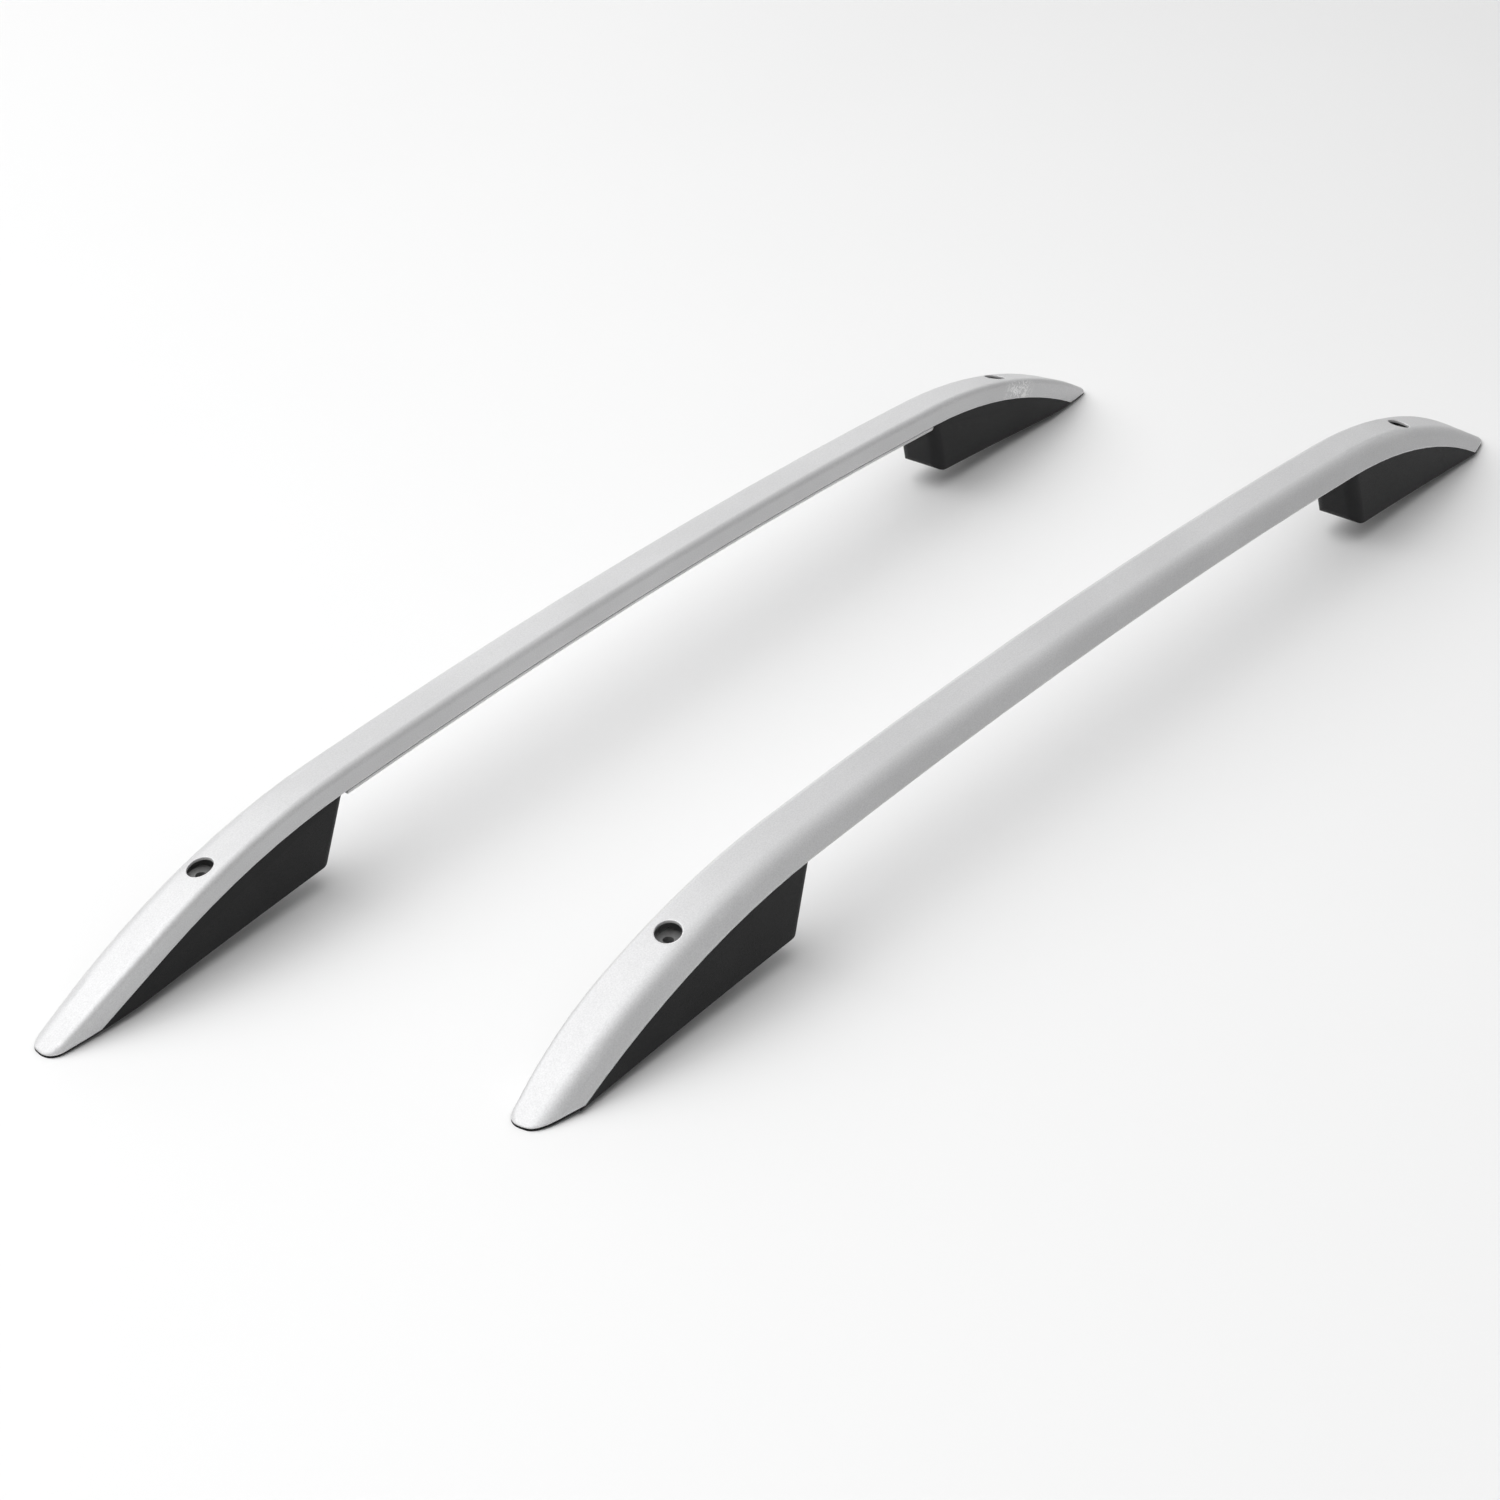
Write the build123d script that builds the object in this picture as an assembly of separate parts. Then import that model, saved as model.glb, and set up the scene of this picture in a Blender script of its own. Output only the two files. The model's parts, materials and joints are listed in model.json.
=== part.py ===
from build123d import *
import math
import os

os.makedirs("parts", exist_ok=True)

# Rail along the car, all sizes in mm
rail_length = 1496.0
roof_radius = 7500.0
crown_rise = 79.6
bend_reach = 318.0
bend_radius = 660.0
bend_angle = 25.75

# Section of the extrusion
rail_width = 50.0
rail_depth = 20.2
rail_wall = 2.5
top_slope = 5.0
flank_angle = 57.0
shoulder_radius = 18.0
crease_radius = 6.0
lip_drop = 4.6
lip_wall = 3.0
lip_lean = 1.2
groove_height = 1.2
groove_depth = 1.0

# Nose of the rail in plan
taper_reach = 118.0
taper_radius = 600.0
nose_inner_radius = 16.0
nose_outer_radius = 34.0
nose_outer_offset = 14.0
nose_wall = 17.0

# Foot
foot_reach = 323.0
foot_end_lean = 20.0
foot_corner_radius = 14.0
foot_edge_radius = 12.0
foot_side_lean = 3.5
foot_wall = 3.0
foot_inset = 0.6
nose_plate = 2.0
hollow_end = 65.0
rib_wall = 2.2
rib_recess = 2.0
rib_first = 74.0
rib_pitch = 42.0
rib_count = 6
long_ribs = (14.0, 38.0)

# Roof bolt with its sleeve, seat wedge and pad
bolt_from_nose = 177.0
bolt_across = 21.5
bolt_bore = 9.0
floor_bore = 10.0
access_bore = 22.0
sleeve_wall = 2.5
boss_wall = 4.0
wedge_length = 26.0
wedge_width = 22.0
wedge_least = 5.0
pad_across = 26.0
pad_length = 60.0
pad_width = 34.0
pad_thickness = 4.0
pad_frame = 2.5

# Foot screw, one near the inner end of each foot
screw_from_nose = 263.0
screw_across = 26.0
screw_shank = 4.8
screw_length = 13.0
screw_head = 9.5
screw_head_height = 3.4
screw_socket = 4.0
screw_socket_depth = 2.0

# Clearances
joint_gap = 0.3
fit_gap = 0.1
screw_hole_gap = 0.3

# How the pair lies
rail_spacing = 324.5
rail_stagger = 152.0
rail_turn = -2.0

# The path: a middle that follows the roof, a long bend and a short straight end
half_length = rail_length / 2
bend_start = half_length - bend_reach
roof_centre = -math.sqrt(roof_radius**2 - half_length**2)
arch_radius = roof_radius + crown_rise
rail_height = roof_centre + arch_radius
bend_turn = math.degrees(math.asin(bend_start / arch_radius))
bend_centre_x = (arch_radius - bend_radius) * math.sin(math.radians(bend_turn))
bend_centre_z = roof_centre + (arch_radius - bend_radius) * math.cos(math.radians(bend_turn))
end_angle = bend_turn + bend_angle
end_slope = math.radians(end_angle)
end_reach = half_length / 2
tool_size = 4 * half_length


def roof_height(x, above=0.0):
    return roof_centre + math.sqrt((roof_radius + above) ** 2 - x**2)


def path_at(x, depth):
    # Height and slope angle of the line a given depth under the rail's top edge
    if x <= (arch_radius - depth) * math.sin(math.radians(bend_turn)):
        turn = math.asin(x / (arch_radius - depth))
        return roof_centre + (arch_radius - depth) * math.cos(turn), math.degrees(turn)
    bend_end = bend_centre_x + (bend_radius - depth) * math.sin(end_slope)
    if x <= bend_end:
        turn = math.asin((x - bend_centre_x) / (bend_radius - depth))
        return bend_centre_z + (bend_radius - depth) * math.cos(turn), math.degrees(turn)
    end_height = bend_centre_z + (bend_radius - depth) * math.cos(end_slope)
    return end_height - (x - bend_end) * math.tan(end_slope), end_angle


def sweep_half(face):
    # Carry a section at mid length along the path to the nose
    main_axis = Axis((0, 0, roof_centre), (0, 1, 0))
    bend_axis = Axis((bend_centre_x, 0, bend_centre_z), (0, 1, 0))
    middle = revolve(face, axis=main_axis, revolution_arc=bend_turn)
    at_bend = face.rotate(main_axis, bend_turn)
    bend = revolve(at_bend, axis=bend_axis, revolution_arc=bend_angle)
    at_end = at_bend.rotate(bend_axis, bend_angle)
    end_way = (math.cos(end_slope), 0, -math.sin(end_slope))
    return middle + bend + extrude(at_end, amount=end_reach, dir=end_way)


def section(points):
    return make_face(Polyline(*[(0, y, rail_height + z) for y, z in points], close=True))


def both_ends(shape):
    return shape + mirror(shape, about=Plane.YZ)


def upright(x, y, diameter, low, high):
    return Pos(x, y, low) * Cylinder(
        diameter / 2, high - low, align=(Align.CENTER, Align.CENTER, Align.MIN)
    )


def roof_block(above):
    # Everything under a line that runs a given distance above the roof
    disc = Cylinder(roof_radius + above, tool_size, rotation=(90, 0, 0))
    keep = Box(tool_size, tool_size, tool_size)
    return Pos(0, 0, roof_centre) * disc & keep


def above_line(depth):
    # Everything over a line that runs a given depth under the rail's top edge
    wide = 2 * rail_width
    return sweep_half(section([(-wide, wide), (2 * wide, wide), (2 * wide, -depth), (-wide, -depth)]))


# Section of the rail: y outward from the inner face, z down from the inner top edge
slope_run = math.tan(math.radians(top_slope))
flank_run = math.tan(math.radians(flank_angle))
shoulder_y = (rail_width * flank_run - rail_depth) / (flank_run - slope_run)
shoulder_z = -shoulder_y * slope_run
sharp_section = section(
    [(0, 0), (shoulder_y, shoulder_z), (rail_width, -rail_depth), (0, -rail_depth)]
)
shoulder = sharp_section.vertices().sort_by_distance((0, shoulder_y, rail_height + shoulder_z))[0]
rail_section = fillet(shoulder, shoulder_radius)
crease = rail_section.vertices().sort_by_distance((0, 0, rail_height))[0]
soft_section = fillet(crease, crease_radius)


def end_plan(inset):
    # Plan of one end: a slow taper on the inner side and a round nose, as an upright block
    taper_start = half_length - taper_reach
    across = rail_width + nose_outer_offset - 2 * inset
    corner = Pos(taper_start, inset)
    straight = corner * Rectangle(tool_size, across, align=(Align.MAX, Align.MIN))
    tapered = corner * Rectangle(taper_reach - inset, across, align=(Align.MIN, Align.MIN))
    tapered = tapered & Pos(taper_start, taper_radius) * Circle(taper_radius - inset)
    plan = straight + tapered
    plan = fillet(plan.vertices().sort_by(Axis.X)[-2:].sort_by(Axis.Y)[0], nose_inner_radius - inset)
    plan = fillet(plan.vertices().sort_by(Axis.Y)[-2:].sort_by(Axis.X)[-1], nose_outer_radius - inset)
    return extrude(plan, amount=tool_size, both=True)


# Rail shell with a rounded nose
nose_box = Pos(half_length + tool_size / 2, 0, 0) * Box(tool_size, tool_size, tool_size)
body = sweep_half(rail_section) & end_plan(0)
top_edge = body.edges().filter_by_position(Axis.Y, -0.01, 0.01).sort_by(Axis.Z)[-1]
full_end = fillet(top_edge, crease_radius)
body = full_end - roof_block(nose_plate)
hollow = sweep_half(offset(soft_section, amount=-rail_wall)) & end_plan(rail_wall)
hollow = hollow - Pos(-nose_wall, 0, 0) * nose_box
body = body - hollow

# Lower lip of the inner face, which stops at the feet
foot_start = half_length - foot_reach
lip_low = -rail_depth - lip_drop
groove_low = -rail_depth - groove_height
lip_section = section(
    [
        (groove_depth, -rail_depth),
        (groove_depth, groove_low),
        (0, groove_low),
        (lip_lean, lip_low),
        (lip_lean + lip_wall, lip_low),
        (lip_lean + lip_wall, -rail_depth),
    ]
)
lip_box = Pos(foot_start - joint_gap + tool_size / 2, 0, 0) * Box(tool_size, tool_size, tool_size)
body = body + (sweep_half(lip_section) - lip_box)

# Holes for the roof bolt and the foot screw
bolt_x = half_length - bolt_from_nose
inside_height = path_at(bolt_x, rail_depth / 2)[0]
body = body - upright(bolt_x, bolt_across, access_bore, inside_height, inside_height + tool_size)
body = body - upright(bolt_x, bolt_across, floor_bore, 0, inside_height)
screw_x = half_length - screw_from_nose
screw_height, screw_angle = path_at(screw_x, rail_depth)
screw_turn = math.radians(screw_angle)
screw_place = Plane(
    origin=(screw_x, screw_across, screw_height),
    x_dir=(math.cos(screw_turn), 0, -math.sin(screw_turn)),
    z_dir=(math.sin(screw_turn), 0, math.cos(screw_turn)),
)


def screw_hole(gap):
    return screw_place * Cylinder(screw_shank / 2 + gap, 2 * screw_length)


body = body - screw_hole(fit_gap)
rail = both_ends(body)

# Foot: outline in side view, sides that lean outward, shell open to the roof
foot_top = path_at(foot_start, rail_depth)[0]
foot_low = roof_height(foot_start + foot_end_lean)
chord_way = Vector(half_length - foot_start, 0, -foot_top).normalized()
chord_up = Vector(-chord_way.Z, 0, chord_way.X)
lean = math.radians(foot_side_lean)
side_way = Vector(0, math.cos(lean), 0) + chord_up * math.sin(lean)


def side_tool(y, way):
    place = Plane(origin=(foot_start, y, foot_top), x_dir=chord_way, z_dir=side_way)
    return extrude(place * Rectangle(tool_size, tool_size), amount=way * tool_size)


def end_tool(shift):
    # Everything inboard of the foot's leaning inner end
    run = foot_end_lean / (foot_top - foot_low)
    high = tool_size
    far = foot_start + shift - tool_size
    points = [
        (foot_start + shift - high * run, 0, foot_top + high),
        (foot_start + shift + high * run, 0, foot_top - high),
        (far - high, 0, foot_top - high),
        (far - high, 0, foot_top + high),
    ]
    face = make_face(Polyline(*points, close=True))
    return extrude(face, amount=tool_size, dir=(0, 1, 0), both=True)


def foot_blank(inset, nose_gap):
    blank = Pos(half_length, 0, foot_top + rail_depth) * Box(
        2 * foot_reach + 2 * foot_end_lean,
        4 * rail_width,
        foot_top + rail_depth + rail_width,
        align=(Align.CENTER, Align.CENTER, Align.MAX),
    )
    blank = blank - Pos(-nose_gap, 0, 0) * nose_box
    blank = blank - end_tool(inset - foot_inset)
    blank = blank - side_tool(inset, -1)
    blank = blank - side_tool(rail_width - inset, 1)
    end_edges = blank.faces().sort_by(Axis.X)[0].edges().sort_by(Axis.Y)
    blank = fillet([end_edges[0], end_edges[-1]], foot_edge_radius + foot_inset - inset)
    return blank & end_plan(inset)


def lower_corner():
    # What a round lower corner takes off the foot's inner end
    run = foot_end_lean / (foot_top - foot_low)
    high = foot_top + rail_depth
    low = -rail_width
    points = [
        (foot_start - (high - foot_top) * run, high),
        (half_length, high),
        (half_length, low),
        (foot_start + (foot_top - low) * run, low),
    ]
    side = make_face(Polyline(*points, close=True)) - Pos(0, roof_centre) * Circle(roof_radius)
    corner = side.vertices().sort_by_distance((foot_start + foot_end_lean, foot_low))[0]
    around = Pos(corner.X, corner.Y) * Rectangle(2 * foot_corner_radius, 2 * foot_corner_radius)
    return extrude(Plane.XZ * (around - fillet(corner, foot_corner_radius)), amount=tool_size, both=True)


under_rail = above_line(rail_depth + joint_gap)
under_wall = above_line(rail_depth + joint_gap + foot_wall)
on_roof = roof_block(0)
blank = foot_blank(foot_inset, foot_inset) - on_roof - lower_corner()
beside_nose = above_line(rail_depth - joint_gap) - Pos(0, 0, -nose_plate) * full_end
nose_floor = roof_block(nose_plate - joint_gap) - beside_nose
envelope = blank - (under_rail - nose_floor)

# Foot shell with ribs, bolt boss and pad frame
hollow_foot = foot_blank(foot_inset + foot_wall, hollow_end) - under_wall
ribs = []
for number in range(rib_count):
    rib_x = half_length - rib_first - number * rib_pitch
    ribs.append(Pos(rib_x, 0, 0) * Box(rib_wall, tool_size, tool_size))
for rib_y in long_ribs:
    ribs.append(Pos(0, rib_y, 0) * Box(tool_size, rib_wall, tool_size))
boss_size = bolt_bore + 2 * sleeve_wall + 2 * boss_wall
ribs.append(upright(bolt_x, bolt_across, boss_size, -tool_size, tool_size))
rib_space = hollow_foot & envelope
rib_space = rib_space - roof_block(rib_recess)
foot = envelope - hollow_foot
for rib in ribs:
    foot = foot + (rib & rib_space)
pad_top = roof_block(pad_thickness)


def pad_block(margin):
    return Pos(bolt_x, pad_across, 0) * Box(
        pad_length + 2 * margin, pad_width + 2 * margin, tool_size
    )


frame = pad_block(pad_frame) & roof_block(pad_thickness + pad_frame) & envelope
foot = foot + frame
foot = foot - (pad_block(fit_gap) & pad_top)
sleeve_size = bolt_bore + 2 * sleeve_wall
foot = foot - upright(bolt_x, bolt_across, sleeve_size + 2 * fit_gap, -tool_size, tool_size)
foot = foot - screw_hole(screw_hole_gap)

# Bolt sleeve, pad, seat wedge and screw
sleeve = upright(bolt_x, bolt_across, sleeve_size, -tool_size, tool_size)
sleeve = sleeve - upright(bolt_x, bolt_across, bolt_bore, -tool_size, tool_size)
sleeve_space = upright(bolt_x, bolt_across, 2 * sleeve_size, -tool_size / 2, inside_height)
sleeve = (sleeve & sleeve_space) - on_roof - above_line(rail_depth + fit_gap)
pad = (pad_block(0) & roof_block(pad_thickness - fit_gap)) - on_roof
pad = pad - upright(bolt_x, bolt_across, sleeve_size + 2 * fit_gap, -tool_size, tool_size)
wedge_space = sweep_half(offset(soft_section, amount=-rail_wall - fit_gap))
uphill = path_at(bolt_x - wedge_length / 2, rail_depth - rail_wall)[0]
wedge = Pos(bolt_x, bolt_across, uphill + wedge_least) * Box(
    wedge_length, wedge_width, rail_depth, align=(Align.CENTER, Align.CENTER, Align.MAX)
)
wedge = wedge & wedge_space
wedge = wedge - upright(bolt_x, bolt_across, bolt_bore, -tool_size, tool_size)
head = Cylinder(
    screw_head / 2, screw_head_height, align=(Align.CENTER, Align.CENTER, Align.MAX)
)
socket = extrude(RegularPolygon(screw_socket / 2, 6, major_radius=False), amount=screw_socket_depth)
head = head - Pos(0, 0, -screw_head_height) * socket
shank = Cylinder(screw_shank / 2, screw_length, align=(Align.CENTER, Align.CENTER, Align.MIN))
screw = screw_place * Pos(0, 0, -joint_gap - foot_wall - fit_gap) * (head + shank)

# Place both rails and write every piece
end_pieces = {
    "foot": foot,
    "bolt_sleeve": sleeve,
    "roof_pad": pad,
    "seat_wedge": wedge,
    "foot_screw": screw,
}
left = {"rail": rail}
for name, shape in end_pieces.items():
    left["front_" + name] = shape
    left["rear_" + name] = mirror(shape, about=Plane.YZ)
right_place = Pos(rail_stagger, -rail_spacing, 0) * Rot(0, 0, rail_turn)
nodes = {}
for name, shape in left.items():
    nodes["left_" + name] = shape
    nodes["right_" + name] = right_place * mirror(shape, about=Plane.XZ)
box = Compound(list(nodes.values())).bounding_box()
centre = Pos(-box.center().X, -box.center().Y, -box.min.Z)
for name, shape in nodes.items():
    export_step(centre * shape, f"parts/{name}.step")
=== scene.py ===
import json
import math

import bpy
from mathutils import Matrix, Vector


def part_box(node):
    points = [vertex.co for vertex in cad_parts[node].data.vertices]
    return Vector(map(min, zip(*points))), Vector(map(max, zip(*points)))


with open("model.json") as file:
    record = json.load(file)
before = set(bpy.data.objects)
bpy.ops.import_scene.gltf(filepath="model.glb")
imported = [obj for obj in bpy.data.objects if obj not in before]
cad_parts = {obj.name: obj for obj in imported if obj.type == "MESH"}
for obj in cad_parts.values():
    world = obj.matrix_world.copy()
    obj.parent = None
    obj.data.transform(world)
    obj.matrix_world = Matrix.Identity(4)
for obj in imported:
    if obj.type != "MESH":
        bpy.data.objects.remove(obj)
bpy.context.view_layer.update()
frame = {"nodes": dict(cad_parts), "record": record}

nodes = frame["nodes"]
scene = bpy.context.scene
print("frame loaded,", len(nodes), "nodes")


# Node helpers

def addNode(tree, kind, place, **settings):
    node = tree.nodes.new(kind)
    node.location = place
    for key, value in settings.items():
        setattr(node, key, value)
    return node


def setInputs(node, values):
    for key, value in values.items():
        node.inputs[key].default_value = value


def startGroup(name, inputs, outputs):
    group = bpy.data.node_groups.new(name, "ShaderNodeTree")
    for label, value in inputs.items():
        socket = group.interface.new_socket(label, in_out="INPUT", socket_type="NodeSocketFloat")
        socket.default_value = value
    for label, kind in outputs.items():
        group.interface.new_socket(label, in_out="OUTPUT", socket_type=kind)
    start = addNode(group, "NodeGroupInput", (-900, 0))
    end = addNode(group, "NodeGroupOutput", (700, 0))
    return group, start, end


def useGroup(tree, group, place, values):
    node = addNode(tree, "ShaderNodeGroup", place, node_tree=group)
    setInputs(node, values)
    return node


def mixColours(tree, place, first, second, factor):
    mix = addNode(tree, "ShaderNodeMix", place, data_type="RGBA")
    colours = [socket for socket in mix.inputs if socket.type == "RGBA"]
    for socket, value in zip(colours, (first, second)):
        if isinstance(value, bpy.types.NodeSocket):
            tree.links.new(value, socket)
        else:
            socket.default_value = (*value, 1)
    tree.links.new(factor, mix.inputs[0])
    return [socket for socket in mix.outputs if socket.type == "RGBA"][0]


def multiply(tree, place, first, second):
    node = addNode(tree, "ShaderNodeMath", place, operation="MULTIPLY")
    tree.links.new(first, node.inputs[0])
    tree.links.new(second, node.inputs[1])
    return node.outputs["Value"]


def spread(tree, place, value, low, high, fromLow=0.0, fromHigh=1.0):
    node = addNode(tree, "ShaderNodeMapRange", place)
    tree.links.new(value, node.inputs["Value"])
    setInputs(node, {"From Min": fromLow, "From Max": fromHigh, "To Min": low, "To Max": high})
    return node.outputs["Result"]


# Shared effects

def drawnLinesGroup():
    # die lines of an extrusion, long along X and very fine across
    group, start, end = startGroup(
        "drawnLines", {"Along": 3.0, "Across": 900.0}, {"Lines": "NodeSocketFloat"}
    )
    spot = addNode(group, "ShaderNodeTexCoord", (-900, -200))
    stretch = addNode(group, "ShaderNodeCombineXYZ", (-650, 100))
    group.links.new(start.outputs["Along"], stretch.inputs["X"])
    group.links.new(start.outputs["Across"], stretch.inputs["Y"])
    group.links.new(start.outputs["Across"], stretch.inputs["Z"])
    scaled = addNode(group, "ShaderNodeVectorMath", (-400, 0), operation="MULTIPLY")
    group.links.new(spot.outputs["Object"], scaled.inputs[0])
    group.links.new(stretch.outputs["Vector"], scaled.inputs[1])
    noise = addNode(group, "ShaderNodeTexNoise", (-150, 0))
    setInputs(noise, {"Scale": 1.0, "Detail": 3.0, "Roughness": 0.6})
    group.links.new(scaled.outputs["Vector"], noise.inputs["Vector"])
    lines = spread(group, (200, 0), noise.outputs["Fac"], 0, 1, 0.3, 0.7)
    group.links.new(lines, end.inputs["Lines"])
    return group


def fineGrainGroup():
    # even speckle of a blasted, moulded or anodised skin
    group, start, end = startGroup(
        "fineGrain", {"Scale": 1500.0, "Low": 0.35, "High": 0.65}, {"Grain": "NodeSocketFloat"}
    )
    spot = addNode(group, "ShaderNodeTexCoord", (-900, -200))
    noise = addNode(group, "ShaderNodeTexNoise", (-400, 0))
    setInputs(noise, {"Detail": 2.0, "Roughness": 0.55})
    group.links.new(spot.outputs["Object"], noise.inputs["Vector"])
    group.links.new(start.outputs["Scale"], noise.inputs["Scale"])
    grain = addNode(group, "ShaderNodeMapRange", (0, 0))
    group.links.new(noise.outputs["Fac"], grain.inputs["Value"])
    group.links.new(start.outputs["Low"], grain.inputs["From Min"])
    group.links.new(start.outputs["High"], grain.inputs["From Max"])
    group.links.new(grain.outputs["Result"], end.inputs["Grain"])
    return group


def smudgesGroup():
    # slow cloudy change from handling and anodising
    group, start, end = startGroup(
        "smudges", {"Scale": 9.0, "Low": 0.38, "High": 0.68}, {"Smudge": "NodeSocketFloat"}
    )
    spot = addNode(group, "ShaderNodeTexCoord", (-900, -200))
    noise = addNode(group, "ShaderNodeTexNoise", (-400, 0))
    setInputs(noise, {"Detail": 4.0, "Roughness": 0.5, "Distortion": 0.4})
    group.links.new(spot.outputs["Object"], noise.inputs["Vector"])
    group.links.new(start.outputs["Scale"], noise.inputs["Scale"])
    cloud = addNode(group, "ShaderNodeMapRange", (0, 0), interpolation_type="SMOOTHSTEP")
    group.links.new(noise.outputs["Fac"], cloud.inputs["Value"])
    group.links.new(start.outputs["Low"], cloud.inputs["From Min"])
    group.links.new(start.outputs["High"], cloud.inputs["From Max"])
    group.links.new(cloud.outputs["Result"], end.inputs["Smudge"])
    return group


def softEdgesGroup():
    # rounds a hard edge in the shading and marks where it is
    group, start, end = startGroup(
        "softEdges", {"Radius": 0.0008}, {"Edge": "NodeSocketFloat", "Normal": "NodeSocketVector"}
    )
    bevel = addNode(group, "ShaderNodeBevel", (-500, 0), samples=4)
    group.links.new(start.outputs["Radius"], bevel.inputs["Radius"])
    surface = addNode(group, "ShaderNodeNewGeometry", (-500, -250))
    match = addNode(group, "ShaderNodeVectorMath", (-200, -100), operation="DOT_PRODUCT")
    group.links.new(bevel.outputs["Normal"], match.inputs[0])
    group.links.new(surface.outputs["Normal"], match.inputs[1])
    edge = spread(group, (100, -100), match.outputs["Value"], 0, 1, 0.995, 0.85)
    group.links.new(edge, end.inputs["Edge"])
    group.links.new(bevel.outputs["Normal"], end.inputs["Normal"])
    return group


def deepPlacesGroup():
    # marks hollows and joints that little light reaches, where shade is painted into the colour
    group, start, end = startGroup(
        "deepPlaces", {"Reach": 0.012, "Open": 0.45}, {"Deep": "NodeSocketFloat"}
    )
    light = addNode(group, "ShaderNodeAmbientOcclusion", (-500, 0), samples=6)
    group.links.new(start.outputs["Reach"], light.inputs["Distance"])
    deep = addNode(group, "ShaderNodeMapRange", (-100, 0))
    setInputs(deep, {"From Min": 0.05, "To Min": 1.0, "To Max": 0.0})
    group.links.new(light.outputs["AO"], deep.inputs["Value"])
    group.links.new(start.outputs["Open"], deep.inputs["From Max"])
    group.links.new(deep.outputs["Result"], end.inputs["Deep"])
    return group


drawnLines = drawnLinesGroup()
fineGrain = fineGrainGroup()
smudges = smudgesGroup()
softEdges = softEdgesGroup()
deepPlaces = deepPlacesGroup()
print("shared effects built")


# Finishes

def startMaterial(name, look):
    material = bpy.data.materials.new(name)
    material.use_nodes = True
    tree = material.node_tree
    shader = tree.nodes["Principled BSDF"]
    setInputs(shader, {"Metallic": look["metallic"], "Specular IOR Level": look["specular"]})
    return material, tree, shader


def addBump(tree, place, height, look, normal=None):
    bump = addNode(tree, "ShaderNodeBump", place)
    setInputs(bump, {"Strength": look["reliefStrength"], "Distance": look["reliefDepth"]})
    tree.links.new(height, bump.inputs["Height"])
    if normal is not None:
        tree.links.new(normal, bump.inputs["Normal"])
    return bump.outputs["Normal"]


scuffLook = {
    "colour": (0.86, 0.86, 0.86),
    "pastHole": 0.015,
    "aboveWedge": 0.004,
    "reach": 0.032,
    "core": 0.0128,
    "wave": {"Scale": 170.0, "Detail": 3.0, "Roughness": 0.65, "Distortion": 1.6},
    "markLow": 0.50,
    "markHigh": 0.56,
    "faceLow": -0.5,
    "faceHigh": -0.8,
}


def scuffMask(tree):
    # short rubbed squiggles on the inner face of the left rail, beside its front access hole
    low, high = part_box("left_front_seat_wedge")
    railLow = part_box("left_rail")[0]
    holeX = (low.x + high.x) / 2
    spot = addNode(tree, "ShaderNodeTexCoord", (-1500, -900))
    away = addNode(tree, "ShaderNodeVectorMath", (-1250, -900), operation="DISTANCE")
    tree.links.new(spot.outputs["Object"], away.inputs[0])
    away.inputs[1].default_value = (
        holeX + scuffLook["pastHole"], railLow.y, low.z + scuffLook["aboveWedge"]
    )
    near = spread(
        tree, (-1000, -900), away.outputs["Value"], 1, 0, scuffLook["core"], scuffLook["reach"]
    )
    wave = addNode(tree, "ShaderNodeTexNoise", (-1000, -1150))
    setInputs(wave, scuffLook["wave"])
    tree.links.new(spot.outputs["Object"], wave.inputs["Vector"])
    marks = spread(
        tree, (-750, -1150), wave.outputs["Fac"], 0, 1, scuffLook["markLow"], scuffLook["markHigh"]
    )
    surface = addNode(tree, "ShaderNodeNewGeometry", (-1250, -1400))
    split = addNode(tree, "ShaderNodeSeparateXYZ", (-1000, -1400))
    tree.links.new(surface.outputs["Normal"], split.inputs["Vector"])
    inward = spread(
        tree, (-750, -1400), split.outputs["Y"], 0, 1, scuffLook["faceLow"], scuffLook["faceHigh"]
    )
    return multiply(tree, (-300, -1100), multiply(tree, (-500, -1000), near, marks), inward)


railLook = {
    "metallic": 0.35,
    "specular": 0.4,
    "satin": (0.66, 0.66, 0.665),
    "cloud": (0.62, 0.62, 0.625),
    # painted highlight: near-white colour laid along the rail's edges
    "edge": (0.98, 0.98, 0.98),
    "speck": (0.42, 0.42, 0.425),
    "speckShare": 0.36,
    # painted shade: dark colour laid into hollows that little light reaches
    "paintedHollowShade": (0.24, 0.24, 0.24),
    "roughLow": 0.46,
    "roughHigh": 0.56,
    "lines": {"Along": 2.0, "Across": 850.0},
    "grain": {"Scale": 820.0, "Low": 0.3, "High": 0.7},
    "smudges": {"Scale": 7.0, "Low": 0.4, "High": 0.7},
    "edges": {"Radius": 0.0016},
    "hollows": {"Reach": 0.012, "Open": 0.34},
    "reliefStrength": 0.05,
    "reliefDepth": 0.00015,
}


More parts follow.
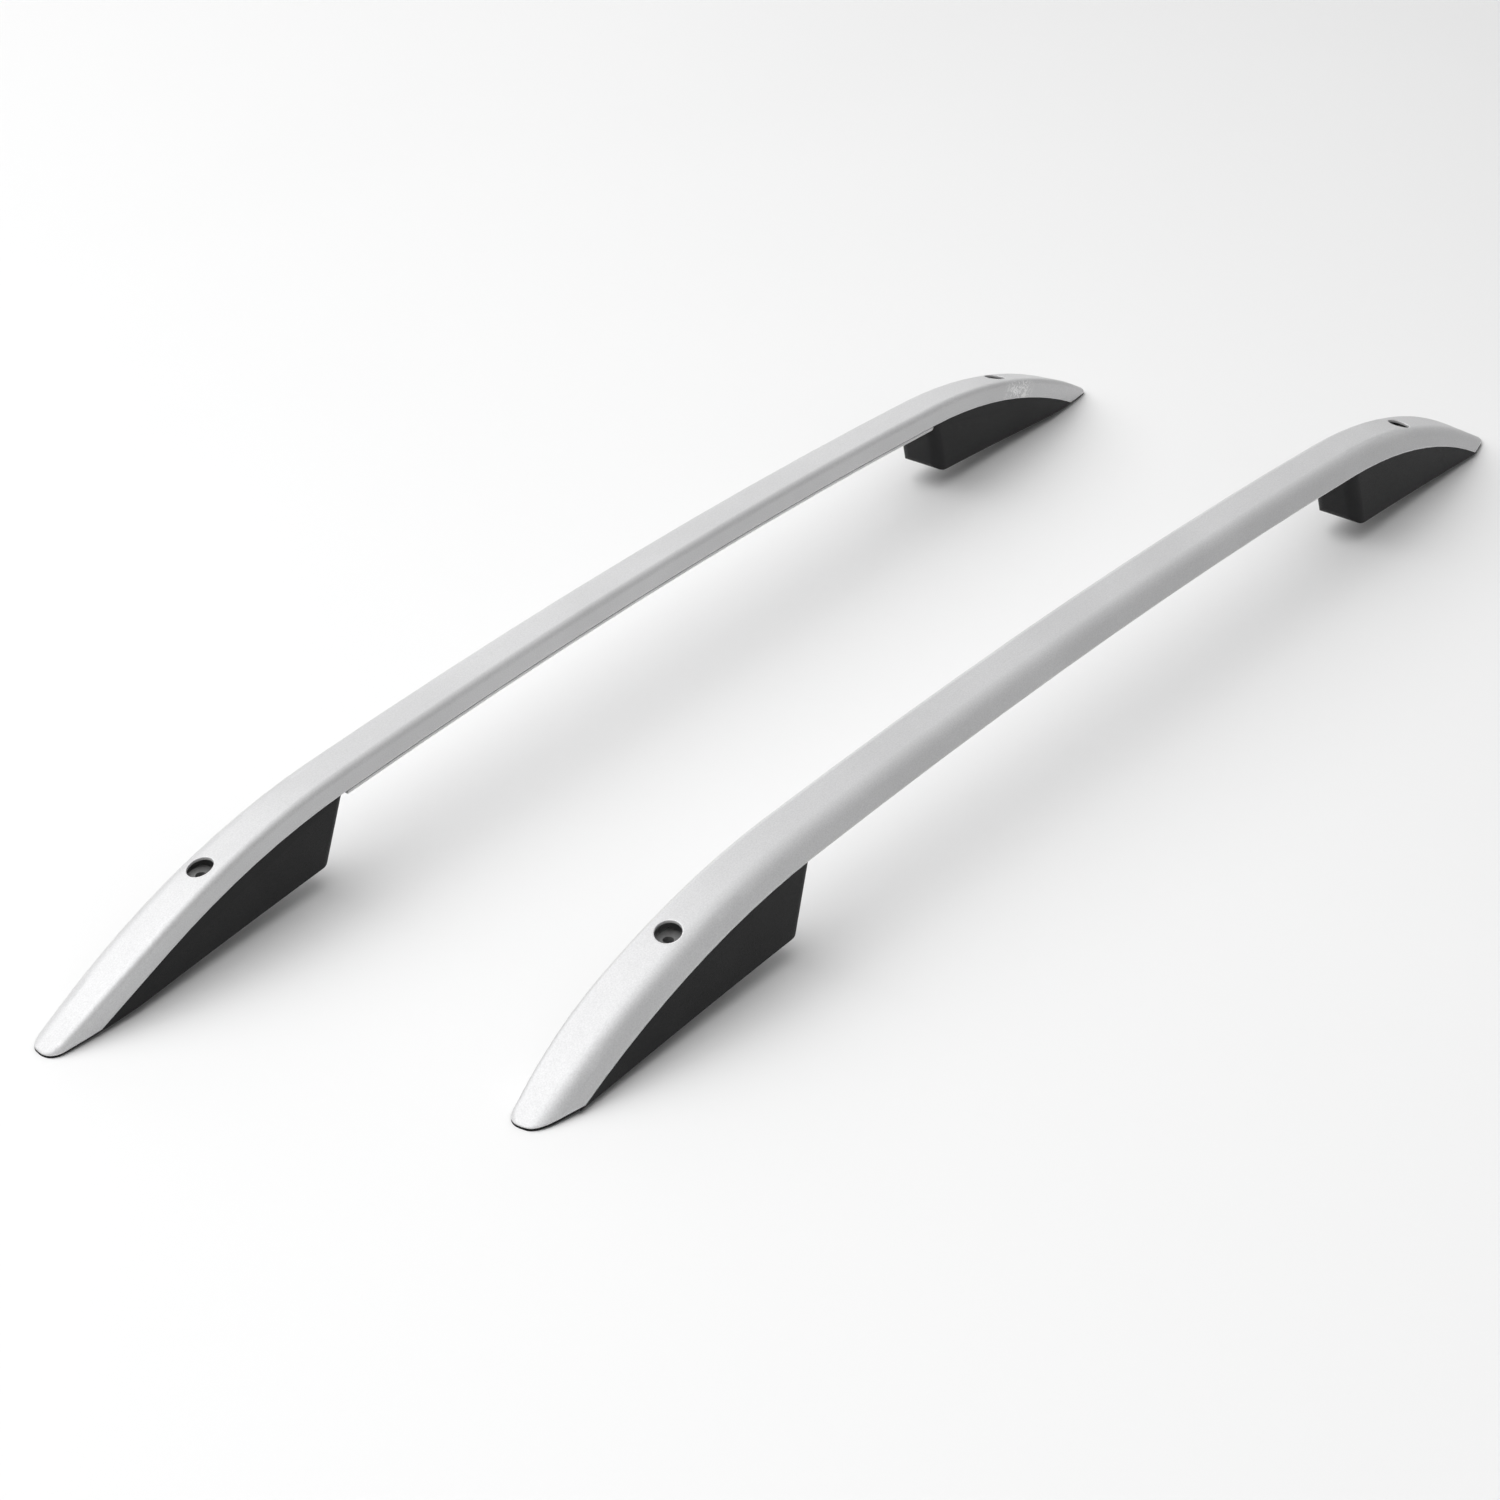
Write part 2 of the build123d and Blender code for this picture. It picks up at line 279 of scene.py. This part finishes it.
def railFinish():
    material, tree, shader = startMaterial("satinAnodised", railLook)
    lines = useGroup(tree, drawnLines, (-1200, 400), railLook["lines"])
    grain = useGroup(tree, fineGrain, (-1200, 150), railLook["grain"])
    cloud = useGroup(tree, smudges, (-1200, -100), railLook["smudges"])
    edges = useGroup(tree, softEdges, (-1200, -400), railLook["edges"])
    hollows = useGroup(tree, deepPlaces, (-600, -600), railLook["hollows"])
    plain = mixColours(
        tree, (-850, 300), railLook["satin"], railLook["cloud"], cloud.outputs["Smudge"]
    )
    speck = spread(tree, (-850, 0), grain.outputs["Grain"], 0, railLook["speckShare"])
    specked = mixColours(tree, (-600, 300), plain, railLook["speck"], speck)
    scuffed = mixColours(tree, (-350, 300), specked, scuffLook["colour"], scuffMask(tree))
    # painted highlight: edges lightened towards a near-white colour along the bevel mask
    edgeHighlighted = mixColours(tree, (-150, 300), scuffed, railLook["edge"], edges.outputs["Edge"])
    # painted shade: hollows and the inside behind the access holes darkened where little light
    # reaches
    colour = mixColours(tree, (50, 300), edgeHighlighted, railLook["paintedHollowShade"], hollows.outputs["Deep"])
    tree.links.new(colour, shader.inputs["Base Color"])
    rough = spread(
        tree, (-350, 0), grain.outputs["Grain"], railLook["roughLow"], railLook["roughHigh"]
    )
    tree.links.new(rough, shader.inputs["Roughness"])
    normal = addBump(
        tree, (-350, -300), lines.outputs["Lines"], railLook, edges.outputs["Normal"]
    )
    tree.links.new(normal, shader.inputs["Normal"])
    return material


footLook = {
    "metallic": 0.0,
    "specular": 0.22,
    "black": (0.0100, 0.0100, 0.0105),
    "faded": (0.0130, 0.0130, 0.0135),
    # painted highlight: lighter colour laid along the foot's edges
    "paintedRimHighlight": (0.030, 0.030, 0.031),
    "rimHighlightShare": 0.6,
    # painted shade: near-black laid into the joint and tight spots that little light reaches
    "paintedJointShade": (0.0005, 0.0005, 0.0005),
    "roughLow": 0.48,
    "roughHigh": 0.66,
    "grain": {"Scale": 1300.0},
    "smudges": {"Scale": 16.0},
    "edges": {"Radius": 0.0008},
    "joints": {"Reach": 0.004, "Open": 0.9},
    "reliefStrength": 0.35,
    "reliefDepth": 0.00025,
}


def footFinish():
    material, tree, shader = startMaterial("grainedPlastic", footLook)
    grain = useGroup(tree, fineGrain, (-1200, 200), footLook["grain"])
    cloud = useGroup(tree, smudges, (-1200, -50), footLook["smudges"])
    edges = useGroup(tree, softEdges, (-1200, -300), footLook["edges"])
    joints = useGroup(tree, deepPlaces, (-800, -600), footLook["joints"])
    plain = mixColours(
        tree, (-800, 300), footLook["black"], footLook["faded"], cloud.outputs["Smudge"]
    )
    # painted highlight: the black foot's edges lightened along the bevel mask
    rim = spread(tree, (-800, -100), edges.outputs["Edge"], 0, footLook["rimHighlightShare"])
    edgeHighlighted = mixColours(tree, (-500, 300), plain, footLook["paintedRimHighlight"], rim)
    # painted shade: joint with the rail and other tight spots darkened where little light reaches
    colour = mixColours(tree, (-250, 300), edgeHighlighted, footLook["paintedJointShade"], joints.outputs["Deep"])
    tree.links.new(colour, shader.inputs["Base Color"])
    rough = spread(
        tree, (-500, 0), grain.outputs["Grain"], footLook["roughLow"], footLook["roughHigh"]
    )
    tree.links.new(rough, shader.inputs["Roughness"])
    normal = addBump(
        tree, (-500, -300), grain.outputs["Grain"], footLook, edges.outputs["Normal"]
    )
    tree.links.new(normal, shader.inputs["Normal"])
    return material


def innerFinish(name, look, relief):
    # cloudy colour and gloss over a fine relief, for the pieces inside and below
    material, tree, shader = startMaterial(name, look)
    fine = useGroup(tree, relief, (-1000, 200), look["relief"])
    cloud = useGroup(tree, smudges, (-1000, -50), look["smudges"])
    colour = mixColours(tree, (-500, 300), look["clean"], look["worn"], cloud.outputs["Smudge"])
    tree.links.new(colour, shader.inputs["Base Color"])
    rough = spread(tree, (-500, 0), cloud.outputs["Smudge"], look["roughLow"], look["roughHigh"])
    tree.links.new(rough, shader.inputs["Roughness"])
    normal = addBump(tree, (-500, -300), fine.outputs[0], look)
    tree.links.new(normal, shader.inputs["Normal"])
    return material


padLook = {
    "metallic": 0.0,
    "specular": 0.3,
    "clean": (0.022, 0.022, 0.022),
    "worn": (0.060, 0.058, 0.055),
    "roughLow": 0.72,
    "roughHigh": 0.90,
    "relief": {"Scale": 900.0},
    "smudges": {"Scale": 60.0},
    "reliefStrength": 0.25,
    "reliefDepth": 0.0003,
}

steelLook = {
    "metallic": 1.0,
    "specular": 0.5,
    "clean": (0.56, 0.57, 0.58),
    "worn": (0.40, 0.41, 0.42),
    "roughLow": 0.28,
    "roughHigh": 0.46,
    "relief": {"Scale": 2600.0},
    "smudges": {"Scale": 120.0},
    "reliefStrength": 0.12,
    "reliefDepth": 0.0001,
}

wedgeLook = {
    "metallic": 0.5,
    "specular": 0.5,
    "clean": (0.26, 0.26, 0.26),
    "worn": (0.20, 0.20, 0.20),
    "roughLow": 0.40,
    "roughHigh": 0.60,
    "relief": {"Along": 60.0, "Across": 1500.0},
    "smudges": {"Scale": 150.0},
    "reliefStrength": 0.25,
    "reliefDepth": 0.0002,
}

finishes = {
    "rail_aluminium": railFinish(),
    "foot_plastic": footFinish(),
    "pad_rubber": innerFinish("padRubber", padLook, fineGrain),
    "steel": innerFinish("zincedSteel", steelLook, fineGrain),
    "bare_aluminium": innerFinish("bareAluminium", wedgeLook, drawnLines),
}
slots = {piece["node"]: piece["material_slot"] for piece in frame["record"]["subparts"]}
for name, node in nodes.items():
    node.data.materials.clear()
    node.data.materials.append(finishes[slots[name]])
print("finishes on", len(nodes), "nodes")


# Floor, light and camera

floorLook = {
    "size": 40.0,
    "metallic": 0.0,
    "specular": 0.2,
    "pale": (0.82, 0.82, 0.82),
    "cloud": (0.81, 0.81, 0.81),
    "rough": 0.75,
    "smudges": {"Scale": 0.7},
}


def layFloor():
    half = floorLook["size"] / 2
    corners = [(-half, -half, 0), (half, -half, 0), (half, half, 0), (-half, half, 0)]
    mesh = bpy.data.meshes.new("floor")
    mesh.from_pydata(corners, [], [(0, 1, 2, 3)])
    floor = bpy.data.objects.new("floor", mesh)
    scene.collection.objects.link(floor)
    material, tree, shader = startMaterial("paleFloor", floorLook)
    cloud = useGroup(tree, smudges, (-800, 0), floorLook["smudges"])
    colour = mixColours(
        tree, (-400, 200), floorLook["pale"], floorLook["cloud"], cloud.outputs["Smudge"]
    )
    tree.links.new(colour, shader.inputs["Base Color"])
    setInputs(shader, {"Roughness": floorLook["rough"]})
    mesh.materials.append(material)


skyLook = {
    "horizon": (0.44, 0.44, 0.44),
    "above": (0.34, 0.34, 0.34),
    "aboveFrom": 0.5,
}


def lightSky():
    world = bpy.data.worlds.new("studio")
    scene.world = world
    world.use_nodes = True
    tree = world.node_tree
    tree.nodes.clear()
    spot = addNode(tree, "ShaderNodeTexCoord", (-800, 0))
    split = addNode(tree, "ShaderNodeSeparateXYZ", (-600, 0))
    tree.links.new(spot.outputs["Generated"], split.inputs["Vector"])
    ramp = addNode(tree, "ShaderNodeValToRGB", (-400, 0))
    low, high = ramp.color_ramp.elements
    low.color = (*skyLook["horizon"], 1)
    high.color = (*skyLook["above"], 1)
    high.position = skyLook["aboveFrom"]
    tree.links.new(split.outputs["Z"], ramp.inputs["Fac"])
    sky = addNode(tree, "ShaderNodeBackground", (-100, 0))
    tree.links.new(ramp.outputs["Color"], sky.inputs["Color"])
    out = addNode(tree, "ShaderNodeOutputWorld", (150, 0))
    tree.links.new(sky.outputs["Background"], out.inputs["Surface"])


softboxes = {
    "sideSoftbox": {"size": (7.0, 5.6), "spot": (-1.9, 3.1, 4.5), "power": 305.0},
    "frontSoftbox": {"size": (3.0, 3.0), "spot": (-1.2, -0.6, 3.6), "power": 48.0},
    "backSoftbox": {"size": (5.5, 1.5), "spot": (3.7, 2.8, 1.9), "power": 32.0},
}


def hangLight(name, look):
    # aimed at the middle of the floor
    data = bpy.data.lights.new(name, "AREA")
    data.shape = "RECTANGLE"
    data.size, data.size_y = look["size"]
    data.energy = look["power"]
    light = bpy.data.objects.new(name, data)
    light.location = look["spot"]
    light.visible_camera = False
    light.rotation_euler = (-Vector(look["spot"])).to_track_quat("-Z", "Y").to_euler()
    scene.collection.objects.link(light)


# fromRail starts at the left rail's middle, at its inner face on the floor
cameraLook = {
    "fromRail": (-1.87138, -1.49473, 1.39390),
    "pitch": 31.751,
    "yaw": 36.923,
    "lens": 72.0,
    "sensor": 36.0,
}


def placeCamera():
    low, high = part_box("left_rail")
    railSpot = Vector(((low.x + high.x) / 2, low.y, 0))
    pitch = math.radians(cameraLook["pitch"])
    yaw = math.radians(cameraLook["yaw"])
    level = math.cos(pitch)
    ahead = Vector((level * math.cos(yaw), level * math.sin(yaw), -math.sin(pitch)))
    data = bpy.data.cameras.new("photoCamera")
    data.lens = cameraLook["lens"]
    data.sensor_width = cameraLook["sensor"]
    camera = bpy.data.objects.new("photoCamera", data)
    camera.location = railSpot + Vector(cameraLook["fromRail"])
    camera.rotation_euler = ahead.to_track_quat("-Z", "Y").to_euler()
    scene.collection.objects.link(camera)
    scene.camera = camera


layFloor()
lightSky()
for name, look in softboxes.items():
    hangLight(name, look)
placeCamera()
scene.view_settings.view_transform = "Standard"
print("stage ready")
